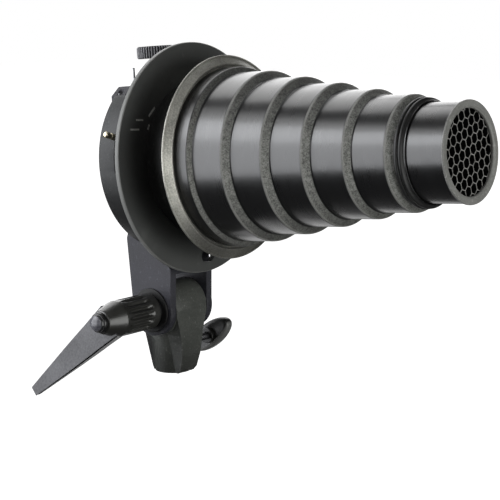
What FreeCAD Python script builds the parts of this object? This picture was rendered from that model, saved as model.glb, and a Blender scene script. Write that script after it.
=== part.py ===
import FreeCAD, Part
import math
import os
import re
import Sketcher

# Stepped metal snoot with a honeycomb grid, on the bayonet bracket that carries it on a stand.
# Millimetres. Origin at the centre of the stand socket's mouth, +Z up the socket,
# the snoot points towards -Y and is tipped up by restTilt.

os.makedirs("parts", exist_ok=True)
doc = FreeCAD.newDocument("SnootBracket")
sheet = doc.addObject("Spreadsheet::Sheet", "Size")

sizes = {
    # stand receiver
    "spigotBore": (8.1, "radius of the socket for a 16 mm stand spigot"),
    "socketRadius": (13.5, "outside radius of the socket"),
    "socketDepth": (38.0, "depth of the socket"),
    "pivotHeight": (49.9, "tilt axis above the socket's mouth"),
    "restTilt": (5.14, "upward tip of the snoot at rest, degrees"),
    "tongueHalf": (16.9, "half width of the tongue between the ears"),
    "tongueRadius": (19.3, "round end of the tongue"),
    "finFoot": (8.8, "half width of the fins at the socket's mouth"),
    "finWaist": (12.3, "half width of the fins at their waist"),
    "waistHeight": (30.0, "height of the fins' waist"),
    "finShoulder": (46.0, "height where the fins reach the tongue's width"),
    "washerRadius": (14.0, "friction washer"),
    "washerThick": (1.0, "friction washer"),
    "earGap": (0.3, "gap from a friction washer to its ear"),
    # wing screw of the socket
    "wingHeight": (19.0, "wing screw above the socket's mouth"),
    "wingScrew": (3.0, "radius of the wing screw"),
    "bossRadius": (7.5, "boss around the wing screw"),
    "bossEnd": (20.0, "end of that boss from the socket's axis"),
    "insertWall": (2.0, "wall of a threaded insert"),
    "wingStart": (41.0, "inner face of the wing from the socket's axis"),
    "wingThick": (9.0, "thickness of the wing"),
    "wingLong": (22.0, "half length of the wing"),
    "wingWide": (9.5, "half width of the wing"),
    "wingLean": (37.0, "lean of the wing at rest, degrees"),
    "padTravel": (1.6, "travel of the pressure pad past the socket's wall"),
    # yoke
    "earThick": (6.0, "thickness of one ear"),
    "earRadius": (19.4, "round end of the ears"),
    "webUnder": (27.0, "underside of the web above the tilt axis"),
    "yokeFront": (22.0, "front of the yoke from the tilt axis"),
    "yokeBack": (19.8, "back of the yoke from the tilt axis"),
    "yokeSetback": (2.2, "the saddle's front behind the ears' front"),
    "umbrellaBore": (4.3, "radius of the umbrella hole"),
    "umbrellaDrop": (73.3, "umbrella hole below the snoot's axis"),
    "boltRadius": (4.0, "tilt bolt"),
    "nutFlats": (13.0, "tilt nut across its flats"),
    "nutThick": (6.5, "tilt nut"),
    # front ring
    "axisHeight": (111.7, "snoot's axis above the tilt axis"),
    "discLead": (36.8, "front of the disc ahead of the tilt axis"),
    "discRadius": (84.8, "front disc"),
    "discThick": (4.0, "front disc"),
    "holeStep": (3.5, "hole for the light inside the snoot's neck"),
    "mountWall": (4.6, "bayonet ring outside the tabs"),
    "mountDeep": (16.0, "depth of the bayonet ring"),
    "neckRadius": (47.5, "outside of the snoot's neck"),
    "neckWall": (2.5, "wall of the neck"),
    "tabHeight": (4.1, "height of the bayonet tabs above the neck"),
    "tabThick": (3.0, "thickness of a bayonet tab"),
    "tabStart": (5.0, "back of the tabs from the disc's face"),
    "tabArc": (22.0, "width of a tab, degrees"),
    "unlockTurn": (24.0, "turn from locked to free, degrees"),
    "runGap": (0.4, "gap between the bayonet's sliding faces"),
    # drum behind the disc
    "drumRadius": (66.5, "outside of the drum"),
    "drumWall": (4.0, "wall of the drum"),
    "drumDepth": (38.0, "back edge of the drum behind the disc's face"),
    "lugHalf": (44.0, "half width of the opening at the top of the drum"),
    "shelfInner": (36.0, "inner face of the shelves that hold the bridge"),
    "shelfHeight": (42.0, "top of the shelves above the snoot's axis"),
    "slideArc": (18.0, "travel of the release slide, degrees"),
    "pinAngle": (163.0, "release pin about the snoot's axis at rest, degrees"),
    "pinRadius": (2.25, "release pin"),
    "pinReach": (82.0, "tip of the release pin from the snoot's axis"),
    "pinStation": (17.0, "release pin behind the disc's face"),
    "slideThick": (2.6, "thickness of the release slide"),
    "slideGap": (0.3, "gap around the release slide"),
    # flash clamp
    "clampStation": (35.0, "clamp screw behind the disc's face"),
    "bridgeTop": (56.0, "top of the bridge above the snoot's axis"),
    "bridgeThick": (8.0, "thickness of the bridge"),
    "bridgeDepth": (14.0, "depth of the bridge"),
    "clampScrew": (3.0, "radius of the clamp screw"),
    "threadGap": (0.05, "radial gap of a screw in its thread"),
    "jawHalf": (33.0, "half width of the jaws"),
    "jawDepth": (26.0, "depth of the jaws"),
    "jawThick": (2.5, "thickness of the jaw plates"),
    "padThick": (3.0, "thickness of the rubber pads"),
    "seatTop": (29.5, "upper pad's face above the snoot's axis"),
    "seatBottom": (29.5, "lower pad's face below the snoot's axis"),
    "guideRadius": (1.1, "guide pins of the upper jaw"),
    "guideSpread": (25.0, "guide pins from the clamp screw"),
    "guideTop": (69.0, "top of the guide pins above the snoot's axis"),
    "knobFoot": (75.0, "underside of the clamp knob above the snoot's axis"),
    "knobTall": (9.0, "height of the clamp knob"),
    "knobRadius": (13.5, "clamp knob"),
    # snoot
    "flangeStart": (30.0, "back of the snoot's flange from the disc's face"),
    "flangeThick": (2.8, "snoot's flange"),
    "flangeRadius": (73.7, "snoot's flange"),
    "sheetWall": (1.2, "radial wall of the spun shell"),
    "footRadius": (64.5, "first drum of the shell"),
    "footEnd": (45.0, "end of the first drum"),
    "stepOne": (60.5, "second drum of the shell"),
    "stepTwo": (55.0, "third drum"),
    "stepThree": (49.5, "fourth drum"),
    "stepFour": (44.0, "fifth drum"),
    "stepFive": (39.5, "sixth drum"),
    "stepPitch": (30.0, "spacing of the steps"),
    "stepFirst": (72.3, "end of the second drum"),
    "stepSlope": (4.2, "length of a sloped step"),
    "tubeRadius": (33.3, "front tube"),
    "tubeWall": (1.5, "wall of the front tube"),
    "tubeSeat": (0.5, "back of the front tube from the last step"),
    "tubeLong": (35.0, "length of the front tube"),
    "sleeveGap": (0.05, "radial gap between fixed sleeves"),
    "collarRise": (3.8, "beads of the collar above the tube"),
    # grid
    "gridWall": (1.4, "wall of the grid's sleeve"),
    "gridGap": (0.1, "radial gap of the grid's sleeve in the tube"),
    "gridSleeve": (18.0, "length of the grid's sleeve"),
    "lipRise": (0.9, "front lip of the grid above the tube"),
    "lipThick": (1.6, "front lip of the grid"),
    "lipBand": (4.6, "opening of the front lip inside the tube's outer face"),
    "cellPitch": (7.1, "honeycomb cells, flat to flat"),
    "combTurn": (-17.5, "turn of the honeycomb in its ring, degrees"),
    "cellWall": (0.45, "honeycomb walls"),
    "cellDepth": (14.0, "honeycomb depth"),
    "cellRecess": (1.2, "honeycomb behind the front of the tube"),
    # tilt lever
    "ringThick": (1.6, "ring around the bolt on the ear"),
    "thrustThick": (2.2, "thrust washer"),
    "hubGap": (0.3, "gap between the thrust washer and the lever's hub"),
    "hubRadius": (13.5, "hub of the lever"),
    "fluteLead": (6.4, "inner end of the flutes from the hub's inner end"),
    "fluteLong": (24.0, "length of the flutes"),
    "hubLong": (50.4, "length of the lever's hub"),
    "hubTip": (8.6, "radius of the hub's outer end"),
    "hubBore": (8.3, "bore of the hub over its insert"),
    "bushRadius": (8.0, "splined bush on the tilt bolt"),
    "bladeLong": (105.0, "tip of the lever from the tilt axis"),
    "bladeInset": (8.0, "outer face of the lever behind the hub's outer end"),
    "bladeDrop": (214.5, "direction of the lever at rest, degrees"),
    "bladeRoot": (12.6, "half width of the lever at its hub"),
    "bladeTip": (3.9, "half width of the lever at its tip"),
    "bladeRootThick": (14.0, "thickness of the lever at its hub"),
    "bladeTipThick": (5.0, "thickness of the lever at its tip"),
    "liftTravel": (4.0, "lift of the lever off its splines"),
}

# Places and radii that follow from the sizes above.
derived = {
    "earInner": ("tongueHalf + 0.3 * washerThick + earGap", "inner face of an ear"),
    "earOuter": ("earInner + earThick", "outer face of an ear"),
    "tabRadius": ("neckRadius + tabHeight", "tip of the bayonet tabs"),
    "mountRadius": ("tabRadius + mountWall", "outside of the bayonet ring"),
    "lightHole": ("neckRadius - holeStep", "radius of the hole for the light"),
    "tubeStart": ("stepFirst + 4 * stepPitch + stepSlope + tubeSeat", "back of the front tube"),
    "tubeEnd": ("tubeStart + tubeLong", "front of the front tube"),
    "collarRadius": ("tubeRadius + collarRise", "beads of the collar"),
    "lipRadius": ("tubeRadius + lipRise", "front lip of the grid"),
    "lipInner": ("tubeRadius - lipBand", "opening of the front lip"),
    "leverBase": ("earOuter + ringThick + thrustThick + hubGap", "inner end of the lever's hub"),
    "fluteStart": ("leverBase + fluteLead", "inner end of the flutes"),
    "fluteEnd": ("fluteStart + fluteLong", "outer end of the flutes"),
    "hubEnd": ("leverBase + hubLong", "outer end of the lever's hub"),
    "bladeFace": ("hubEnd - bladeInset", "outer face of the lever"),
}

cells = [(name, str(number), note) for name, (number, note) in sizes.items()]
cells += [(name, "=" + formula, note) for name, (formula, note) in derived.items()]
for row, (name, content, note) in enumerate(cells, start=1):
    sheet.set("A%d" % row, name)
    sheet.set("B%d" % row, content)
    sheet.set("C%d" % row, note)
    sheet.setAlias("B%d" % row, name)
doc.recompute()


def bound(formula):
    """Formula text with each size's name pointed at its cell."""
    def cell(word):
        name = word.group()
        return "Size." + name if name in sizes or name in derived else name
    return re.sub(r"[A-Za-z_]\w*", cell, str(formula))


def number(formula):
    return float(sheet.evalExpression(bound(formula)))


# Frames: each is a formula for the placement of a piece's own axes.
head = "placement(vector(0; 0; pivotHeight); rotation(vector(1; 0; 0); -restTilt))"
# optic: X right, Y up, Z forward along the snoot's axis from the disc's face
optic = head + " * placement(vector(0; -discLead; axisHeight); rotation(vector(1; 0; 0); 90))"
# clamp: X right, Y back, Z up from the snoot's axis at the clamp screw
clamp = head + " * placement(vector(0; clampStation - discLead; axisHeight); rotation(vector(1; 0; 0); 0))"
# lever: X forward, Y up, Z out to the left along the tilt axis
lever = head + " * placement(vector(0; 0; 0); rotation(vector(1; -1; -1); 120))"
# wing: Z out to the right along the wing screw
wing = "placement(vector(0; 0; wingHeight); rotation(vector(0; 1; 0); 90))"
stand = "placement(vector(0; 0; 0); rotation(vector(0; 0; 1); 0))"

nodes = []
spots = {}


def place(item, x=0, y=0, z=0, turn=0, about="0; 0; 1"):
    """Set an item by its own formula, and keep the formula for node()."""
    spots[item.Name] = "placement(vector(%s; %s; %s); rotation(vector(%s); %s))" % (x, y, z, about, turn)
    item.setExpression("Placement", bound(spots[item.Name]))
    return item


def node(item, name, frame):
    """Name a finished sub-part and set it in its frame."""
    item.Label = name
    formula = frame + " * " + spots[item.Name] if item.Name in spots else frame
    item.setExpression("Placement", bound(formula))
    nodes.append(item)
    return item


def primitive(kind, **formulas):
    item = doc.addObject("Part::" + kind, kind)
    for key, formula in formulas.items():
        item.setExpression(key, bound(formula))
    return item


def rod(radius, start, end, x=0, y=0, axis="z", arc=360, turn=0):
    """Cylinder from start to end along an axis, or a sector of one."""
    item = primitive("Cylinder", Radius=radius, Height="(%s) - (%s)" % (end, start), Angle=arc)
    if axis == "z":
        return place(item, x, y, start, turn)
    if axis == "y":
        return place(item, x, start, y, -90, "1; 0; 0")
    return place(item, start, x, y, 90, "0; 1; 0")


def block(x0, x1, y0, y1, z0, z1):
    item = primitive("Box", Length="(%s) - (%s)" % (x1, x0), Width="(%s) - (%s)" % (y1, y0),
                     Height="(%s) - (%s)" % (z1, z0))
    return place(item, x0, y0, z0)


def prism(flats, start, end, turn=0):
    """Hexagonal prism along Z, flats across given."""
    item = primitive("Prism", Circumradius="(%s) / 2 / cos(30)" % flats, Height="(%s) - (%s)" % (end, start))
    item.Polygon = 6
    return place(item, 0, 0, start, turn)


def fused(*items):
    item = doc.addObject("Part::MultiFuse", "Fusion")
    item.Refine = True
    item.Shapes = list(items)
    return item


def cut(base, *tools):
    item = doc.addObject("Part::Cut", "Cut")
    item.Base = base
    item.Tool = tools[0] if len(tools) == 1 else fused(*tools)
    return item


def common(one, two):
    item = doc.addObject("Part::Common", "Common")
    item.Base = one
    item.Tool = two
    return item


def group(items):
    """Separate solids that share one node."""
    item = doc.addObject("Part::Compound", "Group")
    item.Links = list(items)
    return item


def outline(body, plane, points, offset="0"):
    """Closed sketch of straight runs, every corner bound to formulas."""
    sketch = body.newObject("Sketcher::SketchObject", "Outline")
    origin = [item for item in body.Origin.OriginFeatures if item.Role == plane][0]
    sketch.AttachmentSupport = [(origin, "")]
    sketch.MapMode = "FlatFace"
    sketch.setExpression("AttachmentOffset.Base.z", bound(offset))
    spots = [FreeCAD.Vector(number(a), number(b), 0) for a, b in points]
    count = len(points)
    for i in range(count):
        sketch.addGeometry(Part.LineSegment(spots[i], spots[(i + 1) % count]), False)
    for i in range(count):
        sketch.addConstraint(Sketcher.Constraint("Coincident", i, 2, (i + 1) % count, 1))
    for i, (a, b) in enumerate(points):
        for kind, formula, now in (("DistanceX", a, spots[i].x), ("DistanceY", b, spots[i].y)):
            index = sketch.addConstraint(Sketcher.Constraint(kind, -1, 1, i, 1, now))
            sketch.setExpression("Constraints[%d]" % index, bound(formula))
    return sketch


def turned(points, name="Turned"):
    """Body of revolution about Z; points are (radius, station) formulas."""
    body = doc.addObject("PartDesign::Body", name)
    sketch = outline(body, "XZ_Plane", points)
    solid = body.newObject("PartDesign::Revolution", "Revolution")
    solid.Profile = sketch
    solid.ReferenceAxis = (sketch, ["V_Axis"])
    solid.Angle = 360
    return body


def tube(outer, inner, start, end):
    return turned([(inner, start), (outer, start), (outer, end), (inner, end)])


def plate(points, length, plane="XY_Plane", offset="0", midplane=False):
    """Straight-sided outline padded square to its plane."""
    body = doc.addObject("PartDesign::Body", "Plate")
    sketch = outline(body, plane, points, offset)
    pad = body.newObject("PartDesign::Pad", "Pad")
    pad.Profile = sketch
    pad.setExpression("Length", bound(length))
    pad.SideType = "Symmetric" if midplane else "One side"
    return body


def fluted(body, count, spread, radius, start, end):
    """Round flutes cut along Z from start to end, evenly about the axis."""
    origin = [item for item in body.Origin.OriginFeatures if item.Role == "XY_Plane"][0]
    sketch = body.newObject("Sketcher::SketchObject", "Flute")
    sketch.AttachmentSupport = [(origin, "")]
    sketch.MapMode = "FlatFace"
    sketch.setExpression("AttachmentOffset.Base.z", bound(start))
    circle = Part.Circle(FreeCAD.Vector(number(spread), 0, 0), FreeCAD.Vector(0, 0, 1), number(radius))
    sketch.addGeometry(circle, False)
    for kind, args, formula in (("DistanceX", (-1, 1, 0, 3), spread), ("Radius", (0,), radius)):
        index = sketch.addConstraint(Sketcher.Constraint(kind, *args, number(formula)))
        sketch.setExpression("Constraints[%d]" % index, bound(formula))
    sketch.addConstraint(Sketcher.Constraint("PointOnObject", 0, 3, -1))
    pocket = body.newObject("PartDesign::Pocket", "Pocket")
    pocket.Profile = sketch
    pocket.setExpression("Length", bound("(%s) - (%s)" % (end, start)))
    pocket.Reversed = True
    pattern = body.newObject("PartDesign::PolarPattern", "Around")
    pattern.Originals = [pocket]
    pattern.Axis = (sketch, ["N_Axis"])
    pattern.Angle = 360
    pattern.Occurrences = count
    body.Tip = pattern
    return body


def around(count, make, first=0):
    """Items made at equal angles about Z."""
    return [make(first + i * 360.0 / count) for i in range(count)]


def offcentre(radius, spread, start, end):
    """Maker of a rod parallel to Z at a distance from the axis, for around()."""
    def make(angle):
        item = primitive("Cylinder", Radius=radius, Height="(%s) - (%s)" % (end, start))
        return place(item, "(%s) * cos(%s)" % (spread, angle), "(%s) * sin(%s)" % (spread, angle), start)
    return make


# ---- stand receiver: socket, tongue and fins ----
earInner = "earInner"
earOuter = "earOuter"
sideView = plate([("-12.9", "0"), ("-16", "3.5"), ("-18.6", "14"), ("-tongueRadius", "24"),
                  ("-tongueRadius", "pivotHeight"), ("tongueRadius", "pivotHeight"),
                  ("18.4", "34"), ("12.6", "3"), ("11.5", "0")],
                 "2 * tongueHalf", "YZ_Plane", midplane=True)
frontView = plate([("-finFoot", "0"), ("finFoot", "0"), ("finWaist", "waistHeight"), ("tongueHalf", "finShoulder"),
                   ("tongueHalf", "pivotHeight + tongueRadius"), ("-tongueHalf", "pivotHeight + tongueRadius"),
                   ("-tongueHalf", "finShoulder"), ("-finWaist", "waistHeight")],
                  "4 * tongueRadius", "XZ_Plane", midplane=True)
tongueRound = rod("tongueRadius", "-tongueHalf", "tongueHalf", 0, "pivotHeight", "x")
socket = rod("socketRadius", 0, "pivotHeight - tongueRadius / 2")
wingBoss = rod("bossRadius", "spigotBore + 1", "bossEnd", 0, "wingHeight", "x")
washerSeat = "tongueHalf - 0.7 * washerThick"
receiver = cut(fused(common(sideView, frontView), tongueRound, socket, wingBoss),
               rod("spigotBore", -1, "socketDepth"),
               rod("boltRadius + 0.3", "-tongueHalf - 1", "tongueHalf + 1", 0, "pivotHeight", "x"),
               rod("washerRadius", washerSeat, "tongueHalf + 1", 0, "pivotHeight", "x"),
               rod("washerRadius", "-tongueHalf - 1", "-(%s)" % washerSeat, 0, "pivotHeight", "x"),
               rod("wingScrew + insertWall", "spigotBore + 2", "bossEnd + 1", 0, "wingHeight", "x"),
               rod("wingScrew + threadGap", "0", "bossEnd + 1", 0, "wingHeight", "x"))
node(receiver, "receiver_body", stand)
for label, start in (("right", washerSeat), ("left", "-(%s) - washerThick" % washerSeat)):
    washer = cut(rod("washerRadius", start, start + " + washerThick", 0, "pivotHeight", "x"),
                 rod("boltRadius + 0.3", start + " - 1", start + " + washerThick + 1", 0, "pivotHeight", "x"))
    node(washer, "friction_washer_" + label, stand)

# ---- wing screw that holds the stand's spigot ----
node(tube("wingScrew + insertWall", "wingScrew + threadGap", "spigotBore + 2", "bossEnd"),
     "socket_insert", wing)
padBack = "spigotBore + 0.3 + 1.8"
node(rod("wingScrew - 0.2", "spigotBore + 0.3", padBack), "pressure_pad", wing)
node(turned([("0", padBack), ("wingScrew - 0.6", padBack), ("wingScrew", padBack + " + 0.6"),
             ("wingScrew", "wingStart + 3"), ("0", "wingStart + 3")]), "wing_screw", wing)
wingOutline = primitive("Ellipse", MajorRadius="wingLong", MinorRadius="wingWide")
place(wingOutline, 0, 0, "wingStart", "90 - wingLean")
wingLeaf = doc.addObject("Part::Extrusion", "Leaf")
wingLeaf.Base = wingOutline
wingLeaf.DirMode = "Custom"
wingLeaf.Dir = FreeCAD.Vector(0, 0, 1)
wingLeaf.setExpression("LengthFwd", "Size.wingThick")
wingLeaf.Solid = True
wingHub = rod("6.2", "wingStart - 2", "wingStart + wingThick + 1")
node(cut(fused(wingLeaf, wingHub), rod("wingScrew", "wingStart - 3", "wingStart + 3")), "wing_grip", wing)

# ---- yoke: ears, web and the saddle under the drum ----
# Y is towards the back, so the front of the yoke is at negative Y.
yokeSide = plate([("-earRadius + 0.4", "0"), ("-yokeFront", "webUnder + 4"),
                  ("yokeSetback - yokeFront", "webUnder + 8"), ("yokeSetback - yokeFront", "webUnder + 30"),
                  ("discLead * 0.1", "axisHeight - drumRadius + 20"), ("yokeBack - 8", "axisHeight - drumRadius + 18"),
                  ("yokeBack - 2", "axisHeight - drumRadius + 14"), ("yokeBack", "axisHeight - drumRadius + 9"),
                  ("earRadius - 0.9", "0")], "2 * %s" % earOuter, "YZ_Plane", midplane=True)
earRound = rod("earRadius", "-%s" % earOuter, earOuter, 0, 0, "x")
nutBoss = rod("nutFlats", earOuter, earOuter + " + 3", 0, 0, "x")
nutPocket = place(prism("nutFlats + 0.02", 0, "nutThick + 1"), earOuter + " + 3 - nutThick", 0, 0, 90, "0; 1; 0")
earSlot = block("-%s" % earInner, earInner, "-2 * yokeFront", "2 * yokeFront", "-2 * earRadius", "webUnder")
screwSpots = [(x, y) for x in ("-14.5", "14.5") for y in ("5 + yokeSetback - yokeFront", "-4")]
screwTop = "axisHeight - drumRadius + drumWall - 1"


def yokeScrews(grow, top):
    return [rod("1.6 + %s" % grow, "webUnder + 4", top, x, y) for x, y in screwSpots]


drumBack = "drumDepth - discLead"
drumSpace = rod("drumRadius", "-2 * discLead", drumBack, 0, "axisHeight", "y")
umbrellaHeight = "axisHeight - umbrellaDrop"
umbrellaHole = rod("umbrellaBore", "-2 * yokeFront", "2 * yokeBack", 0, umbrellaHeight, "y")
node(cut(fused(yokeSide, earRound, nutBoss), earSlot, drumSpace, umbrellaHole, nutPocket,
         rod("boltRadius + 0.05", "-2 * %s" % earOuter, "2 * %s" % earOuter, 0, 0, "x"),
         *yokeScrews("0", screwTop)), "yoke", head)
screwHeads = [rod("3.0", screwTop, screwTop + " + 2.2", x, y) for x, y in screwSpots]
node(group([fused(shank, cap) for shank, cap in zip(yokeScrews("0", screwTop), screwHeads)]),
     "yoke_screws", head)

# ---- front disc and bayonet ring ----
discBody = turned([("lightHole", "-discThick"), ("discRadius - 0.6", "-discThick"),
                   ("discRadius", "-discThick + 0.6"), ("discRadius", "-0.6"), ("discRadius - 0.6", "0"),
                   ("lightHole", "0")])
slotHigh = "umbrellaBore + 0.1"
umbrellaSlot = fused(rod(slotHigh, "-discThick - 1", "1", "0.1", "-umbrellaDrop"),
                     rod(slotHigh, "-discThick - 1", "1", "5.4", "-umbrellaDrop"),
                     block("0.1", "5.4", "-umbrellaDrop - (%s)" % slotHigh, "-umbrellaDrop + (%s)" % slotHigh,
                           "-discThick - 1", "1"))
ringBolts = around(6, offcentre("1.5", "tabRadius", "-discThick - 1", "0.9 * discThick"), 30)
flangeSpot = "drumRadius - drumWall - 2.3"
drumBolts = around(4, offcentre("1.2", flangeSpot, "-2 * discThick", "-0.3 * discThick"), 20)
node(cut(discBody, umbrellaSlot, group(ringBolts), group(drumBolts)), "front_disc", optic)

ringBody = turned([("neckRadius + runGap", "0"), ("mountRadius", "0"), ("mountRadius", "mountDeep - 1.5"),
                   ("mountRadius - 1.5", "mountDeep"), ("neckRadius + runGap", "mountDeep"),
                   ("neckRadius + runGap", "tabStart + tabThick + runGap"),
                   ("tabRadius + runGap", "tabStart + tabThick + runGap"),
                   ("tabRadius + runGap", "tabStart - runGap"), ("neckRadius + runGap", "tabStart - runGap")])


def sector(radius, start, end, middle, arc):
    """Wedge of a cylinder about Z, centred on an angle."""
    return rod(radius, start, end, arc=arc, turn="(%s) - (%s) / 2" % (middle, arc))


tabAngles = (90, 210, 330)
entrySlots = [sector("tabRadius + runGap", "tabStart + tabThick", "mountDeep + 1",
                     "%d + unlockTurn" % angle, "tabArc + 2") for angle in tabAngles]
stops = [sector("tabRadius + 1", "tabStart - runGap", "tabStart + tabThick + runGap",
                "%d - tabArc / 2 - 3.5" % angle, "5") for angle in tabAngles]
stopBlocks = cut(group(stops), rod("neckRadius + runGap", "0", "mountDeep"))
ringHoles = around(6, offcentre("1.5", "tabRadius", "-1", "0.9 * discThick"), 30)
node(cut(fused(ringBody, stopBlocks), *entrySlots, group(ringHoles)), "bayonet_ring", optic)
boltHead = around(6, offcentre("2.5", "tabRadius", "-discThick - 1.8", "-discThick"), 30)
boltShank = around(6, offcentre("1.5", "tabRadius", "-discThick", "0.9 * discThick"), 30)
node(group([fused(*pair) for pair in zip(boltHead, boltShank)]), "ring_screws", optic)

marks = [("-70.5", "25.6", "9.2", "-4"), ("-63.6", "31.8", "7.2", "-4"), ("-49.9", "33.6", "9.1", "40"),
         ("-51.9", "24.5", "3.9", "61")]
bars = []
for x, y, reach, lean in marks:
    bar = primitive("Box", Length=reach, Width="1.3", Height="0.4")
    bars.append(place(bar, x, y, "0", lean))
node(group(bars), "index_marks", optic)

# ---- drum behind the disc ----
flangeBack = "-discThick - 3"
drumBody = turned([("drumRadius - drumWall - 4.6", "-discThick"), ("drumRadius", "-discThick"),
                   ("drumRadius", "-drumDepth + 1"), ("drumRadius - 1", "-drumDepth"),
                   ("drumRadius - drumWall", "-drumDepth"), ("drumRadius - drumWall", flangeBack),
                   ("drumRadius - drumWall - 4.6", flangeBack)])
shelfBlocks = group([block(a, b, "shelfHeight - 14", "shelfHeight", "-drumDepth", "-drumDepth + 13")
                     for a, b in (("shelfInner", "drumRadius"), ("-drumRadius", "-shelfInner"))])
shelves = common(shelfBlocks, rod("drumRadius - 1", "-drumDepth", "0"))
topOpening = block("-lugHalf", "lugHalf", "shelfHeight", "2 * drumRadius", "-2 * drumDepth", "-discThick - 3.5")
slideFront = "(-discThick - 4.5)"
slideBack = "(%s - 15)" % slideFront
windowCore = rod("drumRadius - drumWall - 1", "-drumDepth", "0")
window = cut(sector("drumRadius + 2", slideBack + " + 1.5", slideFront + " - 1.5",
                    "pinAngle + slideArc / 2", "slideArc + 7"), windowCore)
seatTool = [rod("1.6", "-drumRadius - 4", "-drumRadius + drumWall + 6", x, "-discLead - (%s)" % y, "y")
            for x, y in screwSpots]
headTool = [rod("3.0", "-drumRadius + drumWall - 1", "-drumRadius + drumWall + 9", x,
                "-discLead - (%s)" % y, "y") for x, y in screwSpots]
drumBoltHoles = around(4, offcentre("1.2", flangeSpot, "-2 * discThick", "0"), 20)
shelfHoles = [rod("1.5", "shelfHeight - 10", "shelfHeight + 1", x, "-clampStation", "y")
              for x in ("-(shelfInner + 4)", "shelfInner + 4")]
node(cut(fused(drumBody, shelves), topOpening, window, *seatTool, *headTool, *shelfHoles,
         group(drumBoltHoles)), "drum", optic)
drumHeads = around(4, offcentre("2.1", flangeSpot, "-discThick - 4.4", flangeBack), 20)
drumShanks = around(4, offcentre("1.2", flangeSpot, flangeBack, "-0.3 * discThick"), 20)
node(group([fused(*pair) for pair in zip(drumHeads, drumShanks)]), "drum_screws", optic)

# ---- release slide with its brass pin ----
slideOuter = "drumRadius - drumWall - slideGap"
slideInner = "(drumRadius - drumWall - slideGap - slideThick)"
pinSocket = place(rod("pinRadius", 0, "drumRadius"), slideInner + " * cos(pinAngle)",
                  slideInner + " * sin(pinAngle)", "-pinStation", 90, "-sin(pinAngle); cos(pinAngle); 0")
slideBody = cut(sector(slideOuter, slideBack, slideFront, "pinAngle + slideArc / 2 - 5", "2 * slideArc + 12"),
                rod(slideInner, "-drumDepth", "0"), pinSocket)
node(slideBody, "release_slide", optic)
pinBody = turned([("0", "drumRadius - drumWall - slideGap - slideThick + 0.2"),
                  ("pinRadius", "drumRadius - drumWall - slideGap - slideThick + 0.2"),
                  ("pinRadius", "pinReach - 6"), ("pinRadius - 0.5", "pinReach - 5.4"),
                  ("pinRadius - 0.5", "pinReach - 4.6"), ("pinRadius", "pinReach - 4"),
                  ("pinRadius", "pinReach - 0.8"), ("pinRadius - 0.8", "pinReach"), ("0", "pinReach")])
radial = optic + " * placement(vector(0; 0; -pinStation); rotation(vector(0; 0; 1); pinAngle))"
radial = radial + " * placement(vector(0; 0; 0); rotation(vector(0; 1; 0); 90))"
node(pinBody, "release_pin", radial)
keeperOuter = slideInner + " - slideGap"
keeperArc = "4 * slideArc + 10"
keeperMiddle = "pinAngle + slideArc / 2 + 4"
keeperRim = rod("drumRadius - drumWall", slideBack, slideFront)
keeper = cut(sector(keeperOuter, slideBack, slideFront, keeperMiddle, keeperArc),
             rod(keeperOuter + " - 1.5", "-drumDepth", "0"))
feet = [cut(sector("drumRadius - drumWall", slideBack, slideFront, keeperMiddle + " + (%s)" % side, "3"),
            rod(keeperOuter + " - 1.5", "-drumDepth", "0"))
        for side in ("-(%s) / 2 + 1.5" % keeperArc, "(%s) / 2 - 1.5" % keeperArc)]
node(fused(keeper, *feet), "slide_keeper", optic)

# ---- flash clamp: lower jaw fixed, upper jaw on a screw ----
jawFront = "-(clampStation - 12)"
legInner = "jawHalf - 5"
lowerTop = "(-seatBottom - padThick)"
lowerBody = fused(block("-jawHalf", "jawHalf", jawFront, jawFront + " + jawDepth", lowerTop + " - jawThick", lowerTop),
                  block(legInner, legInner + " + jawThick", jawFront, jawFront + " + jawDepth",
                        "-drumRadius", lowerTop + " - jawThick"),
                  block("-(%s) - jawThick" % legInner, "-(%s)" % legInner, jawFront, jawFront + " + jawDepth",
                        "-drumRadius", lowerTop + " - jawThick"))
node(common(lowerBody, rod("drumRadius - drumWall", "-3 * clampStation", "3 * clampStation", 0, 0, "y")),
     "lower_jaw", clamp)
node(block("-jawHalf + 1", "jawHalf - 1", jawFront + " + 1", jawFront + " + jawDepth - 1", lowerTop,
           lowerTop + " + padThick"), "lower_pad", clamp)
bridgeUnder = "bridgeTop - bridgeThick"
bridge = plate([("-lugHalf + 0.5", "shelfHeight"), ("-shelfInner - 0.4", "shelfHeight"),
                ("-shelfInner - 0.4", "shelfHeight + 3"), ("-shelfInner + 3", bridgeUnder),
                ("shelfInner - 3", bridgeUnder), ("shelfInner + 0.4", "shelfHeight + 3"),
                ("shelfInner + 0.4", "shelfHeight"), ("lugHalf - 0.5", "shelfHeight"),
                ("lugHalf - 0.5", "shelfHeight + 7.5"), ("lugHalf - 9", "bridgeTop"),
                ("-lugHalf + 9", "bridgeTop"), ("-lugHalf + 0.5", "shelfHeight + 7.5")],
               "bridgeDepth", "XZ_Plane", midplane=True)
insertOuter = "clampScrew + insertWall"
bridgeBolts = ["-(shelfInner + 4)", "shelfInner + 4"]
node(cut(bridge, rod(insertOuter, bridgeUnder + " - 1", "bridgeTop + 1"),
         *[rod("guideRadius + 0.1", bridgeUnder + " - 1", "bridgeTop + 1", x) for x in ("-guideSpread", "guideSpread")],
         *[rod("1.5", "shelfHeight - 1", "bridgeTop", x) for x in bridgeBolts],
         *[rod("2.6", "bridgeTop - 7", "bridgeTop + 1", x) for x in bridgeBolts]), "clamp_bridge", clamp)
node(group([fused(rod("1.5", "shelfHeight - 9", "bridgeTop - 7", x), rod("2.6", "bridgeTop - 7", "bridgeTop - 4.4", x))
            for x in bridgeBolts]), "bridge_screws", clamp)
node(tube(insertOuter, "clampScrew + threadGap", bridgeUnder, "bridgeTop + 0.6"), "bridge_insert", clamp)

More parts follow.
